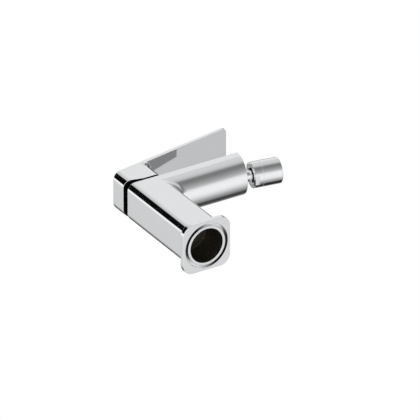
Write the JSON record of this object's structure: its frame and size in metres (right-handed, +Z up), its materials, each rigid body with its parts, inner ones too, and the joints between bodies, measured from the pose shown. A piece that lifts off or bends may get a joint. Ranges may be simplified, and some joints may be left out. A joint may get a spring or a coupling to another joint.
{
  "type": "bidet mixer",
  "caption": "Single-lever bidet mixer: square chromed body on a square foot, flat-topped half-round spout, long flat lever and a ball-joint nozzle.",
  "frame": {"origin": "centre of the foot's underside, on the deck", "axes": "+Z up along the body, -Y towards the spout, +X to the right of someone who faces the spout"},
  "size_m": [0.052, 0.1656, 0.1629],
  "materials": {
    "chrome": "bright chrome plate on brass",
    "brass": "turned, bare",
    "black_plastic": "moulded, satin",
    "white_plastic": "moulded acetal, satin",
    "grey_plastic": "moulded, satin",
    "rubber": "moulded, matte",
    "ceramic": "lapped alumina, polished",
    "steel": "turned stainless steel",
    "plug": "moulded, plain grey"
  },
  "bodies": {
    "mixer_body": {"body_casting": "chrome", "cartridge_nut": "brass", "trim_collar": "black_plastic", "cartridge_housing": "white_plastic", "cartridge_base": "white_plastic", "cartridge_ring": "rubber", "inlet_seals": "rubber", "fixed_disc": "ceramic", "spout_bush": "chrome", "bush_gasket": "rubber", "ball_stem": "chrome"},
    "rotor": {"cartridge_rotor": "grey_plastic", "pivot_pin": "steel"},
    "lever": {"lever_stem": "steel", "lever_handle": "chrome", "grub_screw": "steel", "screw_plug": "plug"},
    "valve_disc": {"disc_carrier": "grey_plastic", "moving_disc": "ceramic"},
    "joint_liner": {"ball_liner": "white_plastic"},
    "joint_seal": {"ball_seal": "rubber"},
    "nozzle": {"nozzle_collar": "chrome", "nozzle_shell": "chrome", "aerator_gasket": "rubber", "aerator_cup": "white_plastic", "aerator_screen": "steel", "aerator_grid": "white_plastic"}
  },
  "joints": [
    {"name": "lever_turn", "type": "hinge", "parent": "mixer_body", "child": "rotor", "pos_m": [0, 0, 0.1045], "axis": [0, 0, 1], "range_deg": [-45, 45]},
    {"name": "lever_lift", "type": "hinge", "parent": "rotor", "child": "lever", "pos_m": [0, 0, 0.1045], "axis": [-1, 0, 0], "range_deg": [0, 18]},
    {"name": "disc_slide", "type": "slide", "parent": "rotor", "child": "valve_disc", "axis": [0, -1, 0], "range_m": [0, 0.0036]},
    {"name": "nozzle_yaw", "type": "hinge", "parent": "mixer_body", "child": "joint_liner", "pos_m": [0, -0.11629, 0.09594], "axis": [0, -0.165, 0.9863], "range_deg": [-9, 9]},
    {"name": "nozzle_pitch", "type": "hinge", "parent": "joint_liner", "child": "joint_seal", "pos_m": [0, -0.11629, 0.09594], "axis": [-1, 0, 0], "range_deg": [-9, 9]},
    {"name": "nozzle_spin", "type": "hinge", "parent": "joint_seal", "child": "nozzle", "pos_m": [0, -0.11629, 0.09594], "axis": [0, -0.9863, -0.165], "continuous": true}
  ],
  "couplings": [
    {"joint": "disc_slide", "follows": "lever_lift", "m_per_rad": 0.011}
  ]
}
